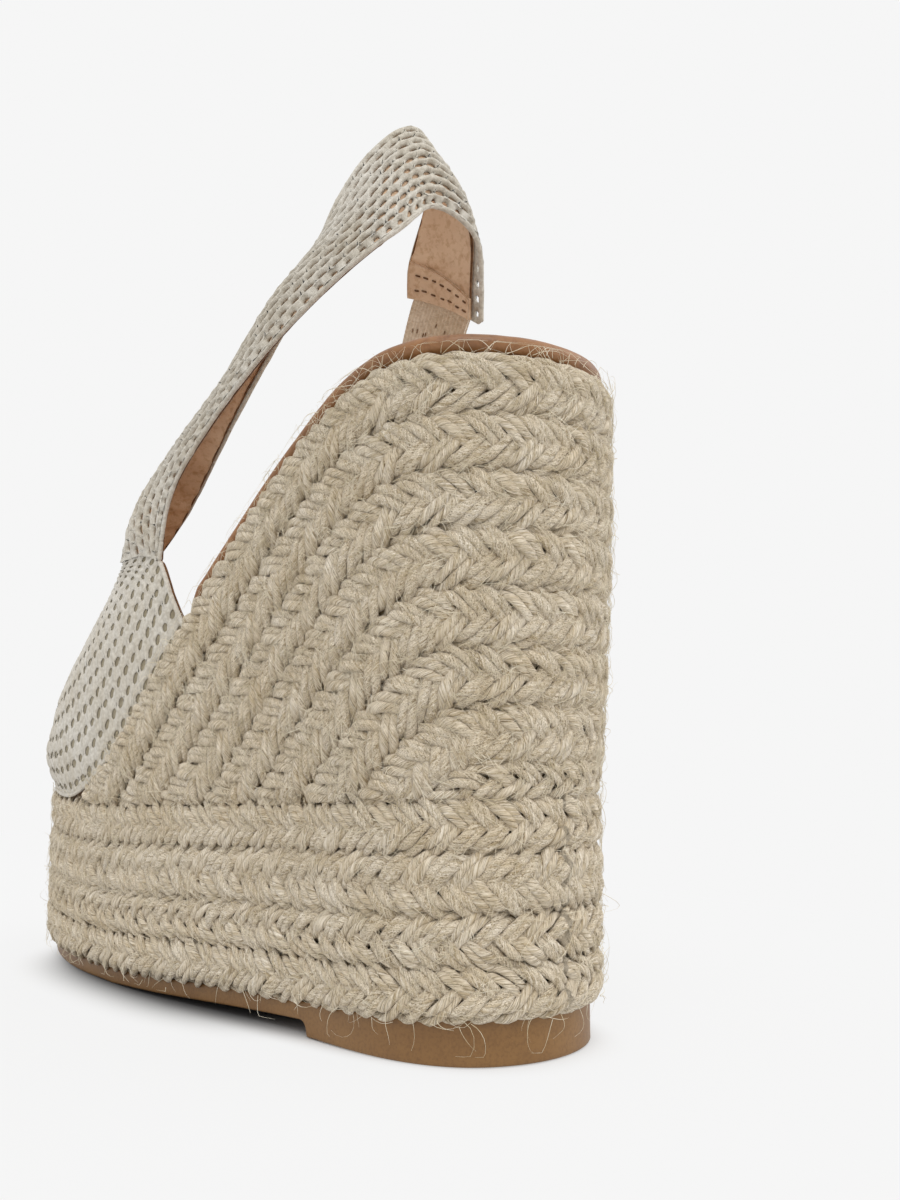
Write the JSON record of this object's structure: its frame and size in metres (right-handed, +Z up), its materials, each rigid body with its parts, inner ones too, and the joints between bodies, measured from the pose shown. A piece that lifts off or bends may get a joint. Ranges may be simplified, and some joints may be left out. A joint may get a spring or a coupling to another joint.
{
  "type": "wedge sandal",
  "caption": "High wedge slingback sandal, left foot: plaited jute wedge and platform, net upper over a lining, leather rim, elasticated heel strap.",
  "frame": {"origin": "on the floor, under the middle of the shoe's bounding box", "axes": "+Z up, the toe points along -Y and the heel along +Y, the outer side of this left shoe is +X"},
  "size_m": [0.0823, 0.2222, 0.2198],
  "materials": {
    "outsole_rubber": "satin brown moulded rubber",
    "core_foam": "light moulded foam, hidden",
    "jute_braid": "natural plaited jute with loose fibres",
    "insole_board": "fibre board, hidden",
    "footbed_foam": "soft cushioning foam, hidden",
    "tan_leather": "satin tan leather",
    "cotton_net": "off-white woven net",
    "peach_lining": "thin peach-tan lining",
    "elastic_web": "grey-cream woven elastic"
  },
  "bodies": {
    "sole_and_vamp": {"rubber_outsole": "outsole_rubber", "platform_core": "core_foam", "wedge_core": "core_foam", "base_braid_1": "jute_braid", "base_braid_2": "jute_braid", "base_braid_3": "jute_braid", "base_braid_4": "jute_braid", "wedge_braid_1": "jute_braid", "wedge_braid_2": "jute_braid", "wedge_braid_3": "jute_braid", "wedge_braid_4": "jute_braid", "wedge_braid_5": "jute_braid", "wedge_braid_6": "jute_braid", "wedge_braid_7": "jute_braid", "wedge_braid_8": "jute_braid", "insole_board": "insole_board", "footbed_foam": "footbed_foam", "sock_leather": "tan_leather", "rim_binding": "tan_leather", "vamp_net": "cotton_net", "vamp_lining": "peach_lining", "lateral_neck": "cotton_net", "medial_neck": "cotton_net"},
    "sling_strap": {"sling_net": "cotton_net", "sling_lining": "peach_lining", "medial_tab_net": "cotton_net", "medial_tab_lining": "peach_lining", "elastic_gusset": "elastic_web"}
  },
  "joints": [
    {"name": "sling_strap_swing", "type": "hinge", "parent": "sole_and_vamp", "child": "sling_strap", "pos_m": [0, -0.01609, 0.121], "axis": [1, 0, 0], "range_deg": [-14, 24], "stiffness_Nm_per_rad": 0.02, "deforming": ["lateral_neck", "medial_neck"]}
  ]
}
